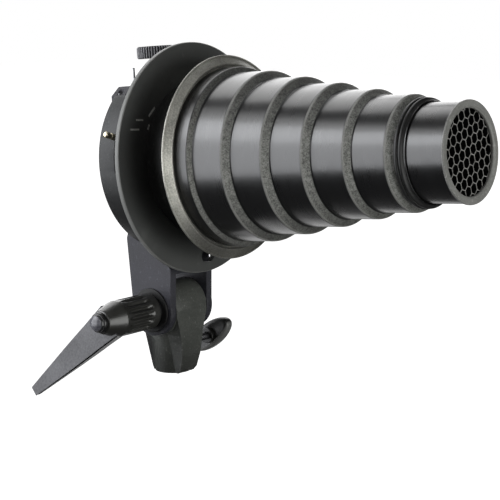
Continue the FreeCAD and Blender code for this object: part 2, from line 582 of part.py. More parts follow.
jawUnder = "(seatTop + padThick)"
jawTop = "(seatTop + padThick + jawThick)"
node(cut(block("-jawHalf + 1.5", "jawHalf - 1.5", "-jawDepth / 2", "jawDepth / 2", jawUnder, jawTop),
         *[rod("guideRadius", jawUnder + " - 1", jawTop + " + 1", x) for x in ("-guideSpread", "guideSpread")]),
     "upper_jaw", clamp)
node(block("-jawHalf + 2.5", "jawHalf - 2.5", "-jawDepth / 2 + 1", "jawDepth / 2 - 1", "seatTop", jawUnder),
     "upper_pad", clamp)
node(group([rod("guideRadius", jawUnder, "guideTop", x) for x in ("-guideSpread", "guideSpread")]),
     "guide_pins", clamp)
footRadius = "clampScrew + 1.5"
node(turned([("0", jawTop), ("clampScrew + 4", jawTop), ("clampScrew + 4", jawTop + " + 5"),
             ("clampScrew + 0.4", jawTop + " + 5"), ("clampScrew + 0.4", jawTop + " + 3.6"),
             (footRadius + " + 0.3", jawTop + " + 3.6"), (footRadius + " + 0.3", jawTop + " + 0.7"),
             ("0", jawTop + " + 0.7")]), "jaw_swivel", clamp)
node(turned([("0", jawTop + " + 1"), (footRadius, jawTop + " + 1"), (footRadius, jawTop + " + 3.3"),
             ("clampScrew", jawTop + " + 3.3"), ("clampScrew", "knobFoot + 5"), ("0", "knobFoot + 5")]),
     "clamp_screw", clamp)
knobBody = turned([("clampScrew", "knobFoot"), ("knobRadius - 0.8", "knobFoot"), ("knobRadius", "knobFoot + 0.8"),
                   ("knobRadius", "knobFoot + knobTall - 1"), ("knobRadius - 1", "knobFoot + knobTall"),
                   ("0", "knobFoot + knobTall"), ("0", "knobFoot + 5"), ("clampScrew", "knobFoot + 5")])
node(fluted(knobBody, 40, "knobRadius + 0.35", "0.8", "knobFoot - 1", "knobFoot + knobTall + 1"),
     "clamp_knob", clamp)

# ---- snoot ----
neckInner = "neckRadius - neckWall"
neckTube = turned([(neckInner, "tabStart - 2"), ("neckRadius", "tabStart - 2"), ("neckRadius", "flangeStart - 1.5"),
                   ("mountRadius - 2", "flangeStart - 1.5"), ("mountRadius - 2", "flangeStart"),
                   (neckInner, "flangeStart")])
tabs = cut(group([sector("tabRadius", "tabStart", "tabStart + tabThick", str(angle), "tabArc")
                  for angle in tabAngles]), rod("neckRadius - 1", "0", "flangeStart"))
rivetSpread = "neckRadius + 3.6"
rivetHoles = around(6, offcentre("1.5", rivetSpread, "flangeStart - 3", "flangeStart + flangeThick + 1"))
node(cut(fused(neckTube, tabs), group(rivetHoles)), "snoot_neck", optic)
flangeFront = "(flangeStart + flangeThick)"
flangeBody = turned([(neckInner, "flangeStart"), ("flangeRadius - 0.7", "flangeStart"),
                     ("flangeRadius", "flangeStart + 0.7"), ("flangeRadius", flangeFront + " - 0.7"),
                     ("flangeRadius - 0.7", flangeFront), (neckInner, flangeFront)])
flangeHoles = around(6, offcentre("1.5", rivetSpread, "flangeStart - 3", "flangeStart + flangeThick + 1"))
node(cut(flangeBody, group(flangeHoles)), "snoot_flange", optic)
rivetParts = zip(around(6, offcentre("1.5", rivetSpread, "flangeStart - 1.5", flangeFront)),
                 around(6, offcentre("2.4", rivetSpread, "flangeStart - 2.5", "flangeStart - 1.5")),
                 around(6, offcentre("2.4", rivetSpread, flangeFront, flangeFront + " + 1")))
node(group([fused(*parts) for parts in rivetParts]), "neck_rivets", optic)

steps = ["stepOne", "stepTwo", "stepThree", "stepFour", "stepFive"]
neckOuter = "(tubeRadius + sleeveGap + sheetWall)"
outer = [("footRadius", flangeFront), ("footRadius", "footEnd"), ("stepOne", "footEnd + 1.5")]
for index, (near, far) in enumerate(zip(steps, steps[1:])):
    outer.append((near, "stepFirst + %d * stepPitch" % index))
    outer.append((far, "stepFirst + %d * stepPitch + stepSlope" % index))
outer.append((steps[-1], "stepFirst + 4 * stepPitch"))
outer.append((neckOuter, "stepFirst + 4 * stepPitch + stepSlope"))
outer.append((neckOuter, "tubeStart + 8"))
inner = [("(%s) - sheetWall" % radius, station) for radius, station in outer]
inner[0] = ("footRadius - sheetWall", flangeFront + " + 1.2")
lip = [("footRadius - 5", flangeFront + " + 1.2"), ("footRadius - 5", flangeFront)]
node(turned(outer + inner[::-1] + lip), "snoot_shell", optic)
beadFoot = neckOuter
collarStart = "(tubeStart + 0.2)"
node(turned([(beadFoot, collarStart), ("collarRadius - 1.4", collarStart), ("collarRadius", collarStart + " + 1.2"),
             ("collarRadius", collarStart + " + 2.6"), ("collarRadius - 1.6", collarStart + " + 3.6"),
             ("collarRadius - 0.5", collarStart + " + 4.6"), ("collarRadius - 0.5", collarStart + " + 5.8"),
             ("collarRadius - 1.8", collarStart + " + 7"), (beadFoot, collarStart + " + 7")]),
     "front_collar", optic)
node(tube("tubeRadius", "tubeRadius - tubeWall", "tubeStart", "tubeEnd"), "front_tube", optic)

# ---- honeycomb grid ----
sleeveOuter = "(tubeRadius - tubeWall - gridGap)"
sleeveInner = "(tubeRadius - tubeWall - gridGap - gridWall)"
node(turned([(sleeveInner, "tubeEnd - gridSleeve"), (sleeveOuter, "tubeEnd - gridSleeve"),
             (sleeveOuter, "tubeEnd + 0.1"), ("lipRadius", "tubeEnd + 0.1"), ("lipRadius", "tubeEnd + lipThick"),
             ("lipInner", "tubeEnd + lipThick"), ("lipInner", "tubeEnd - 0.6"), (sleeveInner, "tubeEnd - 0.6")]),
     "grid_ring", optic)


def honeycomb(radius, pitch, wall, depth):
    """Disc of hexagonal cells, the cells cut where they meet its rim."""
    solid = Part.makeCylinder(radius, depth)
    core = Part.makeCylinder(radius - wall, depth)
    reach = int(radius / pitch) + 1
    side = (pitch - wall) / math.sqrt(3)
    cells = []
    for i in range(-reach, reach + 1):
        for j in range(-reach, reach + 1):
            x = pitch * math.sqrt(3) / 2 * i
            y = pitch * (j + i % 2 / 2)
            if math.hypot(x, y) > radius - wall + side / 2:
                continue
            corners = [FreeCAD.Vector(x + side * math.cos(math.radians(60 * k)),
                                      y + side * math.sin(math.radians(60 * k)), 0) for k in range(7)]
            cell = Part.Face(Part.makePolygon(corners)).extrude(FreeCAD.Vector(0, 0, depth))
            if math.hypot(x, y) + side > radius - wall:
                cell = cell.common(core)
            cells.append(cell)
    return solid.cut(Part.makeCompound([cell for cell in cells if cell.Volume > depth]))


comb = doc.addObject("Part::Feature", "Comb")
comb.Shape = honeycomb(number(sleeveInner) - 0.02, number("cellPitch"), number("cellWall"), number("cellDepth"))
node(comb, "honeycomb", optic + " * placement(vector(0; 0; tubeEnd - cellRecess - cellDepth);"
     " rotation(vector(0; 0; 1); combTurn))")

# ---- tilt bolt and lever ----
rightFace = "-(%s + 3)" % earOuter
node(tube("hubRadius + 3.2", "boltRadius + 0.3", earOuter, earOuter + " + ringThick"), "ear_ring", lever)
node(tube("hubRadius - 1.5", "boltRadius + 0.2", earOuter + " + ringThick", "leverBase - hubGap"),
     "thrust_washer", lever)
node(cut(prism("nutFlats", rightFace, rightFace + " + nutThick", 30),
         rod("boltRadius + threadGap", rightFace + " - 1", rightFace + " + nutThick + 1")), "tilt_nut", lever)
bushEnd = "(leverBase + 20)"
node(rod("boltRadius", rightFace + " - 2", bushEnd + " - 6"), "tilt_bolt", lever)
node(turned([("boltRadius", "leverBase"), ("bushRadius", "leverBase"), ("bushRadius", bushEnd), ("2.5", bushEnd),
             ("2.5", bushEnd + " - 6"), ("boltRadius", bushEnd + " - 6")]), "lever_bush", lever)
headUnder = "hubEnd - 6"
node(turned([("0", bushEnd + " - 6"), ("2.5", bushEnd + " - 6"), ("2.5", headUnder), ("6.2", headUnder),
             ("6.2", headUnder + " + 3"), ("0", headUnder + " + 3")]), "lever_screw", lever)
webStart = "(%s + liftTravel + 1)" % bushEnd
webEnd = "(%s + liftTravel + 7)" % bushEnd
node(tube("5.6", "4.4", webEnd, headUnder), "lever_spring", lever)
hubBody = turned([("hubBore", "leverBase"), ("hubRadius - 1", "leverBase"), ("hubRadius", "leverBase + 1"),
                  ("hubRadius", "fluteEnd"), ("hubTip", "hubEnd"), ("6.6", "hubEnd"), ("6.6", webEnd),
                  ("3", webEnd), ("3", webStart), ("hubBore", webStart)])
hub = fluted(hubBody, 16, "hubRadius + 1.1", "2.1", "fluteStart", "fluteEnd")
bladeTop = plate([("0", "-bladeRoot"), ("bladeLong", "-bladeTip"), ("bladeLong", "bladeTip"), ("0", "bladeRoot")],
                 "bladeRootThick", "XY_Plane", "bladeFace - bladeRootThick")
bladeEdge = plate([("0", "bladeFace - bladeRootThick"), ("bladeLong", "bladeFace - bladeTipThick"),
                   ("bladeLong", "bladeFace"), ("0", "bladeFace")], "4 * bladeRoot", "XZ_Plane", midplane=True)
blade = cut(common(bladeTop, bladeEdge), rod("hubBore + 2", "0", "hubEnd + 1"))
place(blade, 0, 0, 0, "bladeDrop")
node(fused(hub, blade), "lever_handle", lever)
node(turned([("0", "hubEnd - 1.5"), ("6.55", "hubEnd - 1.5"), ("6.55", "hubEnd"), ("7.6", "hubEnd"),
             ("7.6", "hubEnd + 3"), ("6.6", "hubEnd + 5.6"), ("4", "hubEnd + 6.8"), ("0", "hubEnd + 7.2")]),
     "lever_cap", lever)

doc.recompute()
faults = [item.Label for item in doc.Objects if "Invalid" in item.State or "Error" in item.State]
for item in nodes:
    if item.Shape.isNull() or not item.Shape.isValid():
        faults.append(item.Label + " shape")
if faults:
    raise RuntimeError("failed: " + ", ".join(faults))
for item in nodes:
    item.Shape.exportStep("parts/%s.step" % item.Label)
print(len(nodes), "nodes written")
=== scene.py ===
import math

import bmesh
import bpy
import numpy as np
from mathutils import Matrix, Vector


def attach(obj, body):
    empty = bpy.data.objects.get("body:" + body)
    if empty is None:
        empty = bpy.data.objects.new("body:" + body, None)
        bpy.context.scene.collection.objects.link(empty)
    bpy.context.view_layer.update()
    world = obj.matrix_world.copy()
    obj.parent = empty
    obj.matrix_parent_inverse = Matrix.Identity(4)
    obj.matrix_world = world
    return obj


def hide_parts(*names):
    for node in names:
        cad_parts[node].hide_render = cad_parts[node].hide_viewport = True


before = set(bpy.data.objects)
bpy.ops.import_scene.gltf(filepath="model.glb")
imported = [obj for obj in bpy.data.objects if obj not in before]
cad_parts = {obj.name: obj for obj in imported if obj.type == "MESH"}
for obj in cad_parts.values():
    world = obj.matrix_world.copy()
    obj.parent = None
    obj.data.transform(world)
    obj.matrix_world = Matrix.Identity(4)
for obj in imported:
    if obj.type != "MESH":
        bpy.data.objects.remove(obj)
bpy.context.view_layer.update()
print("frame loaded:", len(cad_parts), "nodes")

# Lengths are millimetres until a mesh is made. Angles are degrees.
bracket = dict(restTilt=5.14, pivotHeight=49.9, axisHeight=111.7, discLead=36.8, clampBack=35.0, wingHeight=19.0)
tilt = math.radians(bracket["restTilt"])
acrossAxis = np.array([1.0, 0.0, 0.0])
forwardAxis = np.array([0.0, -math.cos(tilt), math.sin(tilt)])
upAxis = np.array([0.0, math.sin(tilt), math.cos(tilt)])
pivot = np.array([0.0, 0.0, bracket["pivotHeight"]])
discCentre = pivot + bracket["axisHeight"] * upAxis + bracket["discLead"] * forwardAxis

# A place is an origin and three axes. Snoot: X across, Y up, Z forward from the disc's face.
snootPlace = (discCentre, acrossAxis, upAxis, forwardAxis)
# Lever: X forward, Y up, Z out to the left along the tilt axis.
leverPlace = (pivot, forwardAxis, upAxis, -acrossAxis)
# Clamp: X across, Y back, Z up from the snoot's axis at the clamp screw.
clampPlace = (discCentre - bracket["clampBack"] * forwardAxis, acrossAxis, -forwardAxis, upAxis)
# Drum: X across, Y forward, Z up from the snoot's axis.
drumPlace = (discCentre, acrossAxis, forwardAxis, upAxis)
# Wing: Z out to the right along the wing screw.
wingPlace = (np.array([0.0, 0.0, bracket["wingHeight"]]), np.array([0.0, 0.0, -1.0]),
             np.array([0.0, 1.0, 0.0]), acrossAxis)
# Stand: the frame itself, Z up from the socket's mouth.
standPlace = (np.zeros(3), acrossAxis, np.array([0.0, 1.0, 0.0]), np.array([0.0, 0.0, 1.0]))


def placed(points, place):
    # origin + x * first axis + y * second axis + z * third axis, in metres
    origin, first, second, third = place
    spots = origin + points[..., :1] * first + points[..., 1:2] * second + points[..., 2:] * third
    return spots * 0.001


class Value:
    # a number socket: arithmetic on it adds Math nodes
    def __init__(self, finish, socket):
        self.finish = finish
        self.socket = socket

    def math(self, operation, *others):
        made = self.finish.node("Math", dict(operation=operation), self, *others)
        return made.out()

    def __add__(self, other): return self.math("ADD", other)
    def __radd__(self, other): return self.math("ADD", other)
    def __sub__(self, other): return self.math("SUBTRACT", other)
    def __rsub__(self, other): return Value(self.finish, other).math("SUBTRACT", self)
    def __mul__(self, other): return self.math("MULTIPLY", other)
    def __rmul__(self, other): return self.math("MULTIPLY", other)
    def __truediv__(self, other): return self.math("DIVIDE", other)
    def __pow__(self, other): return self.math("POWER", other)
    def __gt__(self, other): return self.math("GREATER_THAN", other)
    def __lt__(self, other): return self.math("LESS_THAN", other)

    def clamped(self):
        return self.finish.node("Clamp", {}, self).out()

    def ramp(self, low, high):
        # 0 below low, 1 above high, smooth between
        made = self.finish.node("MapRange", dict(interpolation_type="SMOOTHSTEP"), self, low, high)
        return made.out()


class Made:
    # a node just made, with its outputs as values
    def __init__(self, finish, node):
        self.finish = finish
        self.node = node

    def out(self, name=0):
        return Value(self.finish, self.node.outputs[name])


class Finish:
    # one material: a Principled shader whose sockets are set by name
    def __init__(self, name, **shader):
        self.material = bpy.data.materials.new(name)
        self.material.use_nodes = True
        self.tree = self.material.node_tree
        self.shader = self.tree.nodes["Principled BSDF"]
        self.coords = self.node("TexCoord", {}).out("Object")
        self.set(**shader)

    def node(self, kind, settings, *values, **named):
        made = self.tree.nodes.new("ShaderNode" + kind)
        for key, setting in settings.items():
            if key == "stops":
                elements = made.color_ramp.elements
                for index, (spot, colour) in enumerate(setting):
                    element = elements[index] if index < 2 else elements.new(spot)
                    element.position = spot
                    element.color = (*colour, 1.0)
            else:
                setattr(made, key, setting)
        for index, value in enumerate(values):
            self.join(value, made.inputs[index])
        for key, value in named.items():
            self.join(value, made.inputs[key.replace("_", " ")])
        return Made(self, made)

    def join(self, value, socket):
        if isinstance(value, Value) and isinstance(value.socket, bpy.types.NodeSocket):
            self.tree.links.new(value.socket, socket)
        else:
            socket.default_value = value.socket if isinstance(value, Value) else value

    def set(self, **sockets):
        # baseColor -> Base Color
        for key, value in sockets.items():
            words = "".join(" " + letter if letter.isupper() else letter for letter in key).title()
            words = words.replace("Specular Level", "Specular IOR Level")
            self.join(value, self.shader.inputs[words])

    def noise(self, scale, detail=3.0, roughness=0.55, where=None):
        made = self.node("TexNoise", dict(noise_dimensions="3D"), Vector=where or self.coords,
                         Scale=scale, Detail=detail, Roughness=roughness)
        return made.out()

    def alongAxes(self, place):
        # Object coordinates measured in a place: how far along its X, its Y and its Z, in metres
        origin, *axes = place
        middle = self.node("VectorMath", dict(operation="SUBTRACT"), self.coords,
                           Vector(origin * 0.001)).out("Vector")
        return [self.node("VectorMath", dict(operation="DOT_PRODUCT"), middle, Vector(axis)).out("Value")
                for axis in axes]

    def packed(self, x, y, z):
        return self.node("CombineXYZ", {}, x, y, z).out()

    def mixed(self, factor, first, second):
        # colours: first where factor is 0, second where it is 1
        made = self.node("Mix", dict(data_type="RGBA"))
        self.join(factor, made.node.inputs[0])
        for value, socket in ((first, made.node.inputs[6]), (second, made.node.inputs[7])):
            self.join((*value, 1.0) if isinstance(value, tuple) and len(value) == 3 else value, socket)
        return Value(self, made.node.outputs[2])

    def bump(self, height, strength, distance):
        made = self.node("Bump", {}, Strength=strength, Distance=distance, Height=height)
        self.set(normal=made.out())


def moulded(name, dark, light, grain=900.0, depth=0.35, rough=0.55, fade=None, rear=None):
    # glass-filled nylon: fine spark-eroded grain, faint clouding, and rubbed specks
    finish = Finish(name, metallic=0.0, specularLevel=0.32)
    fine = finish.noise(grain, 4.0, 0.65)
    cloud = finish.noise(28.0, 3.0)
    speck = finish.noise(330.0, 2.0, 0.7).ramp(0.60, 0.74)
    tone = (cloud * 0.55 + fine * 0.6 - 0.1).ramp(0.25, 0.85)
    base = finish.mixed(tone, dark, light)
    rubbedAndShaded = finish.mixed(speck * 0.30, base, tuple(min(1.0, c * 2.2 + 0.02) for c in light))
    if fade:
        # painted shade: darker from the top height down to the bottom one
        place, low, high, least = fade
        back, height = finish.alongAxes(place)[1:]
        kept = (height * 1000.0).ramp(low, high) * (1.0 - least) + least
        # painted shadow behind: darker past the rear distances, nearly black
        if rear:
            kept = kept * (1.0 - (back * 1000.0).ramp(*rear) * 0.93)
        rubbedAndShaded = finish.mixed(kept, (0.002, 0.002, 0.002), rubbedAndShaded)
    finish.set(baseColor=rubbedAndShaded, roughness=rough + (cloud - 0.5) * 0.18 + (fine - 0.5) * 0.10)
    finish.bump(fine + speck * 0.4, depth, 0.00025)
    return finish.material


# sizes that both a finish and its piece use
stepSizes = dict(footEnd=45.0, first=72.3, pitch=30.0, slope=4.2, count=5,
                 radii=(64.5, 60.5, 55.0, 49.5, 44.0, 39.5))
nose = dict(tubeOuter=33.3, tubeWall=1.5, tubeStart=197.0, tubeEnd=232.0, collar=37.1, sleeveGap=0.1,
            sleeveWall=1.4, sleeveLong=18.0, lip=34.2, lipThick=1.6, lipInner=28.7, combRecess=1.2)
knob = dict(foot=75.0, tall=9.0, radius=13.5, ribs=40, deep=1.3, bore=3.0)
wing = dict(start=41.0, thick=9.0, long=22.0, wide=9.5, lean=37.0, hub=6.2, bore=3.0, round=2.6, scoop=1.9)


def spunEnamel():
    # satin enamel on the straight drums, coarse grained paint on the sloped steps
    finish = Finish("spunEnamel", metallic=0.0, specularLevel=0.75, coatRoughness=0.12)
    x, y, station = finish.alongAxes(snootPlace)
    along = station * 1000.0
    counted = (along - stepSizes["first"]) / stepSizes["pitch"]
    within = counted.math("FRACT") * stepSizes["pitch"]
    onSlope = within.ramp(0.0, 0.5) * (1.0 - within.ramp(stepSizes["slope"] - 0.5, stepSizes["slope"]))
    lastEnd = stepSizes["first"] + (stepSizes["count"] - 1) * stepSizes["pitch"] + stepSizes["slope"] + 0.5
    onSlope = onSlope * (along > stepSizes["first"] - 0.5) * (along < lastEnd)
    foot = (along - stepSizes["footEnd"]).ramp(-0.5, 0.3) * (1.0 - (along - stepSizes["footEnd"]).ramp(1.3, 2.2))
    stepped = (onSlope + foot).clamped()
    grain = finish.noise(980.0, 3.0, 0.75)
    coarse = finish.noise(330.0, 2.0, 0.6)
    # lines left by spinning run round the drums: stretched noise, fine along the axis
    angle = y.math("ARCTAN2", x)
    lines = finish.noise(1.0, 3.0, 0.6, finish.packed(along * 2.6, angle * 0.9, 0.0))
    sweep = finish.noise(1.0, 2.0, 0.5, finish.packed(along * 0.12, angle * 1.6, 3.0))
    smooth = finish.mixed(sweep, (0.0005, 0.0005, 0.0007), (0.0014, 0.0014, 0.0018))
    # painted highlight: a pale line on the corner where each slope starts, standing in for the light its rounded edge
    # catches
    beside = within.math("MINIMUM", stepSizes["pitch"] - within)
    corner = (1.0 - beside.ramp(0.35, 0.9)) * (along > stepSizes["first"] - 1.0) * (along < lastEnd)
    rough = finish.mixed((grain * 0.8 + coarse * 0.35).ramp(0.38, 0.78), (0.045, 0.046, 0.041), (0.330, 0.335, 0.310))
    # painted shade: the steps darker above and below than at mid height
    shade = (y.math("ABSOLUTE") * 1000.0).ramp(6.0, 58.0) * 0.62
    painted = finish.mixed(stepped, smooth, finish.mixed(shade, rough, (0.004, 0.004, 0.004)))
    finish.set(baseColor=finish.mixed(corner * (0.25 + grain * 0.9), painted, (0.30, 0.30, 0.285)),
               roughness=0.29 + (lines - 0.5) * 0.08 + (sweep - 0.5) * 0.10 + stepped * 0.30,
               coatWeight=(1.0 - stepped) * 0.12)
    finish.bump(lines * 0.35 * (1.0 - stepped) + grain * stepped * 1.6, 0.35, 0.00012)
    return finish.material


def wornRim():
    # pale worn enamel of the flange and the grid's lip
    finish = Finish("wornRim", metallic=0.45, specularLevel=0.6)
    grain = finish.noise(850.0, 4.0, 0.7)
    cloud = finish.noise(45.0, 3.0)
    y = finish.alongAxes(snootPlace)[1]
    base = finish.mixed((grain * 0.7 + cloud * 0.5).ramp(0.35, 0.85), (0.26, 0.256, 0.230), (0.72, 0.71, 0.645))
    # painted shade: darker towards the bottom, and less so towards the top
    base = finish.mixed((y * -1000.0).ramp(5.0, 62.0) * 0.72, base, (0.02, 0.02, 0.018))
    base = finish.mixed((y * 1000.0).ramp(15.0, 66.0) * 0.40, base, (0.02, 0.02, 0.018))
    finish.set(baseColor=base, roughness=0.36 + (cloud - 0.5) * 0.2)
    finish.bump(grain, 0.3, 0.00015)
    return finish.material


def powderCoat():
    # fine powder coat of the front disc with a few dust specks
    finish = Finish("powderCoat", metallic=0.0, specularLevel=0.45)
    fine = finish.noise(1100.0, 3.0, 0.6)
    cloud = finish.noise(22.0, 3.0)
    dust = finish.noise(170.0, 1.0, 0.5).ramp(0.70, 0.78)
    base = finish.mixed(cloud, (0.036, 0.038, 0.037), (0.058, 0.060, 0.057))
    x, y = finish.alongAxes(snootPlace)[:2]
    reach = (x * x + y * y) ** 0.5
    height = y.math("ABSOLUTE")
    # painted shadow of the snoot: near black close to it, paler above and below it and out at the rim
    bare = ((height - 0.012).ramp(0.0, 0.060) * 0.75 + (reach - 0.066).ramp(0.0, 0.017) * 0.45).clamped()
    base = finish.mixed(bare, (0.006, 0.006, 0.006), base)
    # painted highlight: a pale line round the rim's edge
    base = finish.mixed((reach - 0.0840).ramp(0.0, 0.0006), base, (0.16, 0.162, 0.155))
    finish.set(baseColor=finish.mixed(dust * 0.25 * bare, base, (0.11, 0.11, 0.105)),
               roughness=0.50 + (fine - 0.5) * 0.16 + (cloud - 0.5) * 0.12)
    finish.bump(fine, 0.3, 0.00018)
    return finish.material


def glossBlack():
    # polished black moulding with faint swirl and finger marks
    finish = Finish("glossBlack", metallic=0.0, specularLevel=0.7)
    smear = finish.noise(60.0, 4.0, 0.6)
    fine = finish.noise(800.0, 2.0)
    finish.set(baseColor=finish.mixed(smear, (0.010, 0.010, 0.009), (0.024, 0.024, 0.021)),
               roughness=0.34 + (smear - 0.4) * 0.20, coatWeight=0.15)
    finish.bump(fine, 0.08, 0.00004)
    return finish.material


def grained(name, dark, light, rough):
    # straight grain and speckle of a moulded handle
    finish = Finish(name, metallic=0.0)
    speck = finish.noise(560.0, 3.0, 0.7)
    cloud = finish.noise(30.0, 2.0)
    base = finish.mixed((speck * 0.75 + cloud * 0.45).ramp(0.36, 0.80), dark, light)
    finish.set(baseColor=base, roughness=rough + (speck - 0.5) * 0.2)
    finish.bump(speck, 0.35, 0.0002)
    return finish.material


def turnedMetal(name, dark, light, rough, tarnish=0.25, metallic=1.0):
    # turned metal: fine noise at two scales, dull patches
    finish = Finish(name, metallic=metallic)
    fine = finish.noise(1400.0, 2.0, 0.6)
    patch = finish.noise(120.0, 4.0, 0.65).ramp(0.42, 0.72)
    base = finish.mixed(patch * tarnish + fine * 0.3, light, dark)
    finish.set(baseColor=base, roughness=rough + patch * 0.18 + (fine - 0.5) * 0.08)
    finish.bump(fine, 0.15, 0.00008)
    return finish.material


def combFoil():
    # aluminium foil comb, blackened inside, bare along its cut front edge
    finish = Finish("combFoil", metallic=0.6)
    station = finish.alongAxes(snootPlace)[2] * 1000.0
    fine = finish.noise(1300.0, 3.0, 0.6)
    patch = finish.noise(90.0, 3.0)
    front = nose["tubeEnd"] - nose["combRecess"]
    edge = station.ramp(front - 0.55, front - 0.15)
    bare = finish.mixed(fine * 0.6 + patch * 0.4, (0.24, 0.24, 0.23), (0.72, 0.71, 0.68))
    finish.set(baseColor=finish.mixed(edge, (0.008, 0.008, 0.008), bare), roughness=0.42 + (fine - 0.5) * 0.3)
    finish.bump(fine, 0.2, 0.0001)
    return finish.material


def domedCap():
    # polished dome inside a blackened bezel
    finish = Finish("domedCap", metallic=0.0, specularLevel=0.6)
    x, y = finish.alongAxes(leverPlace)[:2]
    reach = (x * x + y * y) ** 0.5 * 1000.0
    speck = finish.noise(700.0, 3.0, 0.7)
    smear = finish.noise(130.0, 4.0, 0.6)
    dome = finish.mixed((speck * 0.5 + smear * 0.6).ramp(0.35, 0.8), (0.050, 0.050, 0.058), (0.15, 0.15, 0.168))
    finish.set(baseColor=finish.mixed(reach.ramp(5.3, 6.1), dome, (0.006, 0.006, 0.006)),
               roughness=0.30 + (smear - 0.5) * 0.16)
    finish.bump(speck, 0.15, 0.0001)
    return finish.material


def wingFinish():
    # black moulding with a painted highlight: a pale crescent along one long edge, outside an ellipse moved across
    finish = Finish("wingFinish", metallic=0.0, specularLevel=0.35)
    down, back = finish.alongAxes(wingPlace)[:2]
    lean = math.radians(90 - wing["lean"])
    along = (down * math.cos(lean) + back * math.sin(lean)) * (1000.0 / wing["long"])
    across = (back * math.cos(lean) - down * math.sin(lean)) * (1000.0 / wing["wide"]) - 0.42
    edge = (along * along * 0.9 + across * across) ** 0.5
    fine = finish.noise(700.0, 3.0, 0.6)
    smear = finish.noise(80.0, 4.0, 0.6)
    black = finish.mixed(smear, (0.004, 0.004, 0.004), (0.014, 0.014, 0.013))
    # the pale crescent is a painted highlight
    finish.set(baseColor=finish.mixed(edge.ramp(1.02, 1.14) * (0.55 + fine * 0.5), black, (0.15, 0.15, 0.145)),
               roughness=0.34 + (smear - 0.5) * 0.2)
    finish.bump(fine, 0.06, 0.00004)
    return finish.material


def ribbedKnob():
    # moulded grey rim with painted shade in the gaps between the ribs: rib tops grey, gaps near black
    finish = Finish("ribbedKnob", metallic=0.0)
    x, y = finish.alongAxes(clampPlace)[:2]
    reach = (x * x + y * y) ** 0.5 * 1000.0
    speck = finish.noise(620.0, 3.0, 0.7)
    cloud = finish.noise(40.0, 3.0)
    pale = finish.mixed((speck * 0.7 + cloud * 0.5).ramp(0.35, 0.8), (0.14, 0.14, 0.15), (0.38, 0.38, 0.395))
    ribTops = reach.ramp(knob["radius"] - 1.05, knob["radius"] - 0.4)
    finish.set(baseColor=finish.mixed(ribTops, (0.015, 0.015, 0.016), pale),
               roughness=0.45 + (speck - 0.5) * 0.2)
    finish.bump(speck, 0.3, 0.00015)
    return finish.material


def ribbedRubber():
    # matt rubber of the pads and washers: ribs across the clamp, and a dusty grain
    finish = Finish("ribbedRubber", metallic=0.0, specularLevel=0.3)
    across = finish.alongAxes(clampPlace)[0]
    ribs = (across * 2600.0).math("SINE")
    fine = finish.noise(700.0, 3.0)
    finish.set(baseColor=finish.mixed(fine, (0.012, 0.012, 0.012), (0.045, 0.045, 0.043)),
               roughness=0.72 + (fine - 0.5) * 0.2)
    finish.bump(ribs * 0.5 + fine * 0.4, 0.6, 0.0006)
    return finish.material


finishes = dict(
    mouldedGrey=moulded("mouldedGrey", (0.018, 0.018, 0.023), (0.046, 0.046, 0.057)),
    # the receiver gets painted shade lower down and a painted shadow on its rear fin; the drum gets painted shade
    # lower down
    mouldedDark=moulded("mouldedDark", (0.050, 0.053, 0.048), (0.115, 0.120, 0.109), rough=0.44,
                        fade=(standPlace, -6.0, 46.0, 0.35), rear=(7.0, 13.0)),
    mouldedCharcoal=moulded("mouldedCharcoal", (0.022, 0.023, 0.024), (0.054, 0.056, 0.056), rough=0.5,
                            fade=(drumPlace, -60.0, 50.0, 0.12)),
    spunEnamel=spunEnamel(),
    wornRim=wornRim(),
    powderCoat=powderCoat(),
    glossBlack=glossBlack(),
    leverFace=grained("leverFace", (0.044, 0.044, 0.048), (0.125, 0.125, 0.133), 0.5),
    # the lever's sides: a paler copy of the face's grain, painted as if lit
    leverSide=grained("leverSide", (0.14, 0.14, 0.142), (0.32, 0.32, 0.325), 0.5),
    knobRibs=ribbedKnob(),
    wingBlack=wingFinish(),
    markPaint=grained("markPaint", (0.07, 0.07, 0.068), (0.21, 0.21, 0.20), 0.5),
    steel=turnedMetal("steel", (0.30, 0.30, 0.31), (0.62, 0.62, 0.63), 0.28),
    blackSteel=turnedMetal("blackSteel", (0.020, 0.020, 0.022), (0.10, 0.10, 0.105), 0.38, 0.5),
    brass=turnedMetal("brass", (0.16, 0.14, 0.10), (0.60, 0.54, 0.40), 0.34, 0.6),
    foil=combFoil(),
    rubber=ribbedRubber(),
    capGrey=domedCap(),
    ringDark=moulded("ringDark", (0.005, 0.005, 0.005), (0.014, 0.014, 0.014), rough=0.52, depth=0.15),
    lipEnamel=moulded("lipEnamel", (0.15, 0.15, 0.142), (0.29, 0.29, 0.275), rough=0.34, depth=0.12),
    enamelBlack=moulded("enamelBlack", (0.010, 0.010, 0.010), (0.024, 0.024, 0.024), rough=0.35, depth=0.15),
)
print("materials:", len(finishes))

